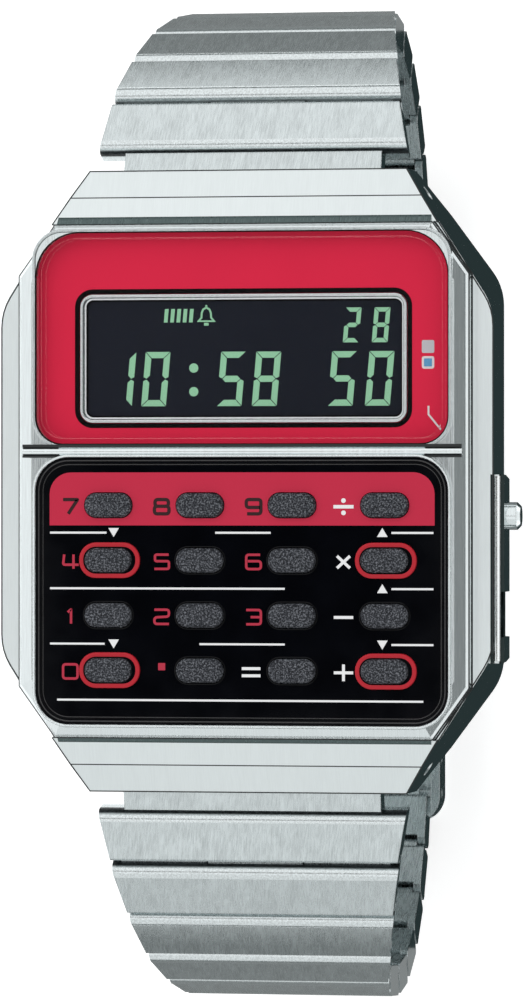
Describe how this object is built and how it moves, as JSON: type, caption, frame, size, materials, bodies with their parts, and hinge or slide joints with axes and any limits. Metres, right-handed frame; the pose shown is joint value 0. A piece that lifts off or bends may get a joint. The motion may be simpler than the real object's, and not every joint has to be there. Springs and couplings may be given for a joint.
{
  "type": "calculator watch",
  "caption": "Metal calculator watch with a rectangular red dial, a grid of press keys and a tapered link bracelet on a folding clasp.",
  "frame": {"origin": "on the outer flat face of the clasp, on which the closed watch stands, in line with the middle of the display side", "axes": "+Z out of the display, +Y towards 12 o'clock, +X towards 3 o'clock where the pushers are"},
  "size_m": [0.0361, 0.071, 0.0406],
  "materials": {
    "case_steel": "brushed",
    "bezel_chrome": "polished",
    "crystal_glass": "polished",
    "dial_red": "satin print",
    "window_chrome": "polished",
    "lcd_glass": "smooth",
    "key_panel": "gloss",
    "key_rubber": "fine grain",
    "sheet_rubber": "matte",
    "module_plastic": "moulded",
    "board_green": "laminate",
    "cell_steel": "plated",
    "buzzer_brass": "rolled",
    "seal_rubber": "matte",
    "back_steel": "brushed",
    "screw_steel": "turned",
    "bar_steel": "turned",
    "pusher_steel": "polished",
    "link_steel": "brushed along the band",
    "clasp_steel": "brushed",
    "leaf_steel": "brushed"
  },
  "bodies": {
    "case": {"case_body": "case_steel", "bezel_frame": "bezel_chrome", "display_crystal": "crystal_glass", "key_plate": "key_panel", "dial_sheet": "dial_red", "window_frame": "window_chrome", "lcd_panel": "lcd_glass", "key_sheet": "sheet_rubber", "module_frame": "module_plastic", "circuit_board": "board_green", "battery": "cell_steel", "buzzer": "buzzer_brass", "back_gasket": "seal_rubber", "back_cover": "back_steel", "back_screws": "screw_steel", "lug_bars": "bar_steel"},
    "key_7": {"key_7": "key_rubber"},
    "key_8": {"key_8": "key_rubber"},
    "key_9": {"key_9": "key_rubber"},
    "key_divide": {"key_divide": "key_rubber"},
    "key_4": {"key_4": "key_rubber"},
    "key_5": {"key_5": "key_rubber"},
    "key_6": {"key_6": "key_rubber"},
    "key_multiply": {"key_multiply": "key_rubber"},
    "key_1": {"key_1": "key_rubber"},
    "key_2": {"key_2": "key_rubber"},
    "key_3": {"key_3": "key_rubber"},
    "key_minus": {"key_minus": "key_rubber"},
    "key_0": {"key_0": "key_rubber"},
    "key_point": {"key_point": "key_rubber"},
    "key_equals": {"key_equals": "key_rubber"},
    "key_plus": {"key_plus": "key_rubber"},
    "mode_pusher": {"mode_pusher": "pusher_steel"},
    "adjust_pusher": {"adjust_pusher": "pusher_steel"},
    "link_12_01": {"link_12_01": "link_steel"},
    "link_12_02": {"link_12_02": "link_steel"},
    "link_12_03": {"link_12_03": "link_steel"},
    "link_12_04": {"link_12_04": "link_steel"},
    "link_12_05": {"link_12_05": "link_steel"},
    "link_12_06": {"link_12_06": "link_steel"},
    "link_12_07": {"link_12_07": "link_steel"},
    "link_12_08": {"link_12_08": "link_steel"},
    "link_12_09": {"link_12_09": "link_steel"},
    "link_12_10": {"link_12_10": "link_steel"},
    "link_12_11": {"link_12_11": "link_steel"},
    "link_6_01": {"link_6_01": "link_steel"},
    "link_6_02": {"link_6_02": "link_steel"},
    "link_6_03": {"link_6_03": "link_steel"},
    "link_6_04": {"link_6_04": "link_steel"},
    "link_6_05": {"link_6_05": "link_steel"},
    "link_6_06": {"link_6_06": "link_steel"},
    "link_6_07": {"link_6_07": "link_steel"},
    "link_6_08": {"link_6_08": "link_steel"},
    "link_6_09": {"link_6_09": "link_steel"},
    "link_6_10": {"link_6_10": "link_steel"},
    "link_6_11": {"link_6_11": "link_steel"},
    "clasp_cover": {"clasp_cover": "clasp_steel"},
    "clasp_leaf_outer": {"clasp_leaf_outer": "leaf_steel"},
    "clasp_leaf_inner": {"clasp_leaf_inner": "leaf_steel"}
  },
  "joints": [
    {"name": "press_key_7", "type": "slide", "parent": "case", "child": "key_7", "axis": [0, 0, -1], "range_m": [0, 0.00035], "stiffness_N_per_m": 800, "springref_m": -0.0001},
    {"name": "press_key_8", "type": "slide", "parent": "case", "child": "key_8", "axis": [0, 0, -1], "range_m": [0, 0.00035], "stiffness_N_per_m": 800, "springref_m": -0.0001},
    {"name": "press_key_9", "type": "slide", "parent": "case", "child": "key_9", "axis": [0, 0, -1], "range_m": [0, 0.00035], "stiffness_N_per_m": 800, "springref_m": -0.0001},
    {"name": "press_key_divide", "type": "slide", "parent": "case", "child": "key_divide", "axis": [0, 0, -1], "range_m": [0, 0.00035], "stiffness_N_per_m": 800, "springref_m": -0.0001},
    {"name": "press_key_4", "type": "slide", "parent": "case", "child": "key_4", "axis": [0, 0, -1], "range_m": [0, 0.00035], "stiffness_N_per_m": 800, "springref_m": -0.0001},
    {"name": "press_key_5", "type": "slide", "parent": "case", "child": "key_5", "axis": [0, 0, -1], "range_m": [0, 0.00035], "stiffness_N_per_m": 800, "springref_m": -0.0001},
    {"name": "press_key_6", "type": "slide", "parent": "case", "child": "key_6", "axis": [0, 0, -1], "range_m": [0, 0.00035], "stiffness_N_per_m": 800, "springref_m": -0.0001},
    {"name": "press_key_multiply", "type": "slide", "parent": "case", "child": "key_multiply", "axis": [0, 0, -1], "range_m": [0, 0.00035], "stiffness_N_per_m": 800, "springref_m": -0.0001},
    {"name": "press_key_1", "type": "slide", "parent": "case", "child": "key_1", "axis": [0, 0, -1], "range_m": [0, 0.00035], "stiffness_N_per_m": 800, "springref_m": -0.0001},
    {"name": "press_key_2", "type": "slide", "parent": "case", "child": "key_2", "axis": [0, 0, -1], "range_m": [0, 0.00035], "stiffness_N_per_m": 800, "springref_m": -0.0001},
    {"name": "press_key_3", "type": "slide", "parent": "case", "child": "key_3", "axis": [0, 0, -1], "range_m": [0, 0.00035], "stiffness_N_per_m": 800, "springref_m": -0.0001},
    {"name": "press_key_minus", "type": "slide", "parent": "case", "child": "key_minus", "axis": [0, 0, -1], "range_m": [0, 0.00035], "stiffness_N_per_m": 800, "springref_m": -0.0001},
    {"name": "press_key_0", "type": "slide", "parent": "case", "child": "key_0", "axis": [0, 0, -1], "range_m": [0, 0.00035], "stiffness_N_per_m": 800, "springref_m": -0.0001},
    {"name": "press_key_point", "type": "slide", "parent": "case", "child": "key_point", "axis": [0, 0, -1], "range_m": [0, 0.00035], "stiffness_N_per_m": 800, "springref_m": -0.0001},
    {"name": "press_key_equals", "type": "slide", "parent": "case", "child": "key_equals", "axis": [0, 0, -1], "range_m": [0, 0.00035], "stiffness_N_per_m": 800, "springref_m": -0.0001},
    {"name": "press_key_plus", "type": "slide", "parent": "case", "child": "key_plus", "axis": [0, 0, -1], "range_m": [0, 0.00035], "stiffness_N_per_m": 800, "springref_m": -0.0001},
    {"name": "press_mode_pusher", "type": "slide", "parent": "case", "child": "mode_pusher", "axis": [-1, 0, 0], "range_m": [0, 0.0008], "stiffness_N_per_m": 600, "springref_m": -0.0002},
    {"name": "press_adjust_pusher", "type": "slide", "parent": "case", "child": "adjust_pusher", "axis": [-1, 0, 0], "range_m": [0, 0.0005], "stiffness_N_per_m": 600, "springref_m": -0.0002},
    {"name": "hinge_12_01", "type": "hinge", "parent": "case", "child": "link_12_01", "pos_m": [0, 0.0199, 0.03563], "axis": [1, 0, 0], "range_deg": [0, 21]},
    {"name": "hinge_12_02", "type": "hinge", "parent": "link_12_01", "child": "link_12_02", "pos_m": [0, 0.02597, 0.0333], "axis": [1, 0, 0], "range_deg": [0, 29]},
    {"name": "hinge_12_03", "type": "hinge", "parent": "link_12_02", "child": "link_12_03", "pos_m": [0, 0.02864, 0.03012], "axis": [1, 0, 0], "range_deg": [0, 10]},
    {"name": "hinge_12_04", "type": "hinge", "parent": "link_12_03", "child": "link_12_04", "pos_m": [0, 0.03071, 0.02653], "axis": [1, 0, 0], "range_deg": [0, 12]},
    {"name": "hinge_12_05", "type": "hinge", "parent": "link_12_04", "child": "link_12_05", "pos_m": [0, 0.03199, 0.02258], "axis": [1, 0, 0], "range_deg": [0, 10]},
    {"name": "hinge_12_06", "type": "hinge", "parent": "link_12_05", "child": "link_12_06", "pos_m": [0, 0.03257, 0.01847], "axis": [1, 0, 0], "range_deg": [0, 17]},
    {"name": "hinge_12_07", "type": "hinge", "parent": "link_12_06", "child": "link_12_07", "pos_m": [0, 0.03192, 0.01437], "axis": [1, 0, 0], "range_deg": [0, 17]},
    {"name": "hinge_12_08", "type": "hinge", "parent": "link_12_07", "child": "link_12_08", "pos_m": [0, 0.0301, 0.01064], "axis": [1, 0, 0], "range_deg": [0, 14]},
    {"name": "hinge_12_09", "type": "hinge", "parent": "link_12_08", "child": "link_12_09", "pos_m": [0, 0.02743, 0.00746], "axis": [1, 0, 0], "range_deg": [0, 12]},
    {"name": "hinge_12_10", "type": "hinge", "parent": "link_12_09", "child": "link_12_10", "pos_m": [0, 0.02416, 0.00491], "axis": [1, 0, 0], "range_deg": [0, 13]},
    {"name": "hinge_12_11", "type": "hinge", "parent": "link_12_10", "child": "link_12_11", "pos_m": [0, 0.0204, 0.00316], "axis": [1, 0, 0], "range_deg": [0, 12]},
    {"name": "hinge_6_01", "type": "hinge", "parent": "case", "child": "link_6_01", "pos_m": [0, -0.0199, 0.03563], "axis": [-1, 0, 0], "range_deg": [0, 14]},
    {"name": "hinge_6_02", "type": "hinge", "parent": "link_6_01", "child": "link_6_02", "pos_m": [0, -0.02621, 0.03406], "axis": [-1, 0, 0], "range_deg": [0, 21]},
    {"name": "hinge_6_03", "type": "hinge", "parent": "link_6_02", "child": "link_6_03", "pos_m": [0, -0.02961, 0.03168], "axis": [-1, 0, 0], "range_deg": [0, 12]},
    {"name": "hinge_6_04", "type": "hinge", "parent": "link_6_03", "child": "link_6_04", "pos_m": [0, -0.03244, 0.02864], "axis": [-1, 0, 0], "range_deg": [0, 16]},
    {"name": "hinge_6_05", "type": "hinge", "parent": "link_6_04", "child": "link_6_05", "pos_m": [0, -0.03432, 0.02495], "axis": [-1, 0, 0], "range_deg": [0, 11]},
    {"name": "hinge_6_06", "type": "hinge", "parent": "link_6_05", "child": "link_6_06", "pos_m": [0, -0.03546, 0.02096], "axis": [-1, 0, 0], "range_deg": [0, 12]},
    {"name": "hinge_6_07", "type": "hinge", "parent": "link_6_06", "child": "link_6_07", "pos_m": [0, -0.03575, 0.01682], "axis": [-1, 0, 0], "range_deg": [0, 12]},
    {"name": "hinge_6_08", "type": "hinge", "parent": "link_6_07", "child": "link_6_08", "pos_m": [0, -0.03518, 0.01271], "axis": [-1, 0, 0], "range_deg": [0, 17]},
    {"name": "hinge_6_09", "type": "hinge", "parent": "link_6_08", "child": "link_6_09", "pos_m": [0, -0.03342, 0.00895], "axis": [-1, 0, 0], "range_deg": [0, 17]},
    {"name": "hinge_6_10", "type": "hinge", "parent": "link_6_09", "child": "link_6_10", "pos_m": [0, -0.03065, 0.00586], "axis": [-1, 0, 0], "range_deg": [0, 15]},
    {"name": "hinge_6_11", "type": "hinge", "parent": "link_6_10", "child": "link_6_11", "pos_m": [0, -0.02717, 0.0036], "axis": [-1, 0, 0], "range_deg": [0, 14]},
    {"name": "clasp_swing", "type": "hinge", "parent": "link_6_11", "child": "clasp_cover", "pos_m": [0, -0.02324, 0.00225], "axis": [-1, 0, 0], "range_deg": [0, 19]},
    {"name": "leaf_outer_fold", "type": "hinge", "parent": "clasp_cover", "child": "clasp_leaf_outer", "pos_m": [0, 0.01246, 0.00172], "axis": [-1, 0, 0], "range_deg": [0, 90]},
    {"name": "leaf_inner_fold", "type": "hinge", "parent": "clasp_leaf_outer", "child": "clasp_leaf_inner", "pos_m": [0, -0.01604, 0.00172], "axis": [1, 0, 0], "range_deg": [0, 60]}
  ]
}
